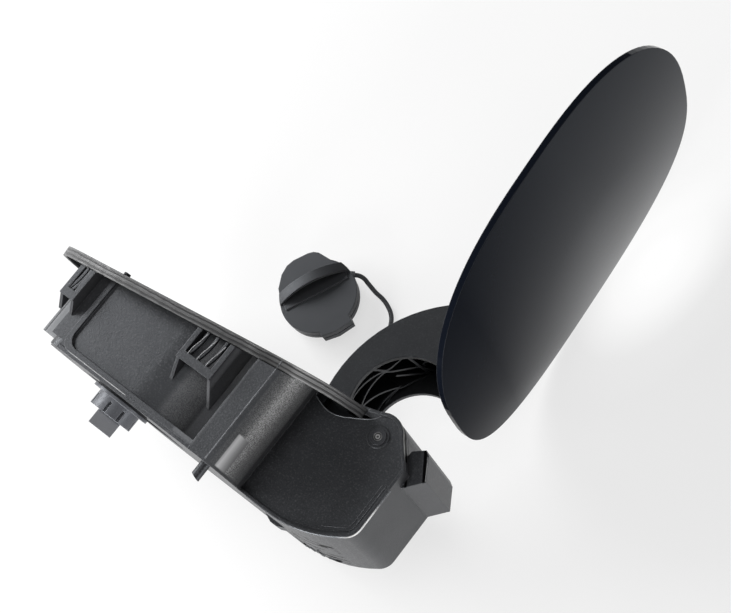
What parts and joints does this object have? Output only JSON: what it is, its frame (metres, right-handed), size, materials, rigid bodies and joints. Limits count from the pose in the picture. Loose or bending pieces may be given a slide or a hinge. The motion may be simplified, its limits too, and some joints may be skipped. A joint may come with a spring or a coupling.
{
  "type": "charging port door housing",
  "caption": "Moulded tub for a charging inlet, with a crowned flange and soft seal, a gloss door open on a gooseneck arm, a bolt lock, an indicator lamp and a dust cap on a tether.",
  "frame": {"origin": "centre of the inlet opening, at the inner face of the tub floor", "axes": "+X along the tub towards the hinge, +Y out of the mouth, +Z along the hinge axis, up from the surface that the part lies on"},
  "size_m": [0.2114, 0.2853, 0.147],
  "materials": {
    "housing_plastic": "satin",
    "seal_rubber": "matte",
    "black_rubber": "matte",
    "steel": "satin",
    "bush_plastic": "satin",
    "arm_plastic": "satin",
    "door_panel_plastic": "glossy",
    "door_gloss": "glossy",
    "lock_plastic": "satin",
    "brass": "satin",
    "lamp_plastic": "satin",
    "lens_clear": "glossy",
    "board_green": "matte",
    "cap_rubber": "satin",
    "tether_rubber": "matte"
  },
  "bodies": {
    "housing": {"housing": "housing_plastic", "rim_seal": "seal_rubber", "bump_stops": "black_rubber", "inlet_seal": "black_rubber", "bush_near": "bush_plastic", "bush_far": "bush_plastic", "hinge_spring": "steel", "lock_case": "lock_plastic", "lock_lid": "lock_plastic", "lock_screws": "steel", "lock_motor": "steel", "lamp_body": "lamp_plastic", "lamp_seal": "black_rubber", "lamp_lens": "lens_clear", "lamp_board": "board_green", "cap_body": "cap_rubber", "cap_seal": "black_rubber", "tether": "tether_rubber", "tether_eyelet": "tether_rubber", "tether_anchor": "tether_rubber"},
    "door": {"door_arm": "arm_plastic", "arm_screws": "steel", "door_inner": "door_panel_plastic", "door_skin": "door_gloss", "door_striker": "arm_plastic", "striker_screws": "steel", "hinge_pin": "steel"},
    "lock_spindle": {"lock_spindle": "brass"},
    "lock_bolt": {"lock_bolt": "steel"}
  },
  "joints": [
    {"name": "door_hinge", "type": "hinge", "parent": "housing", "child": "door", "pos_m": [0.118, 0.05, 0], "axis": [0, 0, 1], "range_deg": [0, 92.7], "deforming": ["tether", "tether_eyelet", "cap_body", "cap_seal"]},
    {"name": "lock_turn", "type": "hinge", "parent": "housing", "child": "lock_spindle", "pos_m": [-0.0594, 0.021, 0], "axis": [0, 0, 1], "range_deg": [0, 1440]},
    {"name": "lock_slide", "type": "slide", "parent": "housing", "child": "lock_bolt", "axis": [0, 0, 1], "range_m": [0, 0.008]}
  ],
  "couplings": [
    {"joint": "lock_turn", "follows": "lock_slide", "rad_per_m": 3141.6}
  ]
}
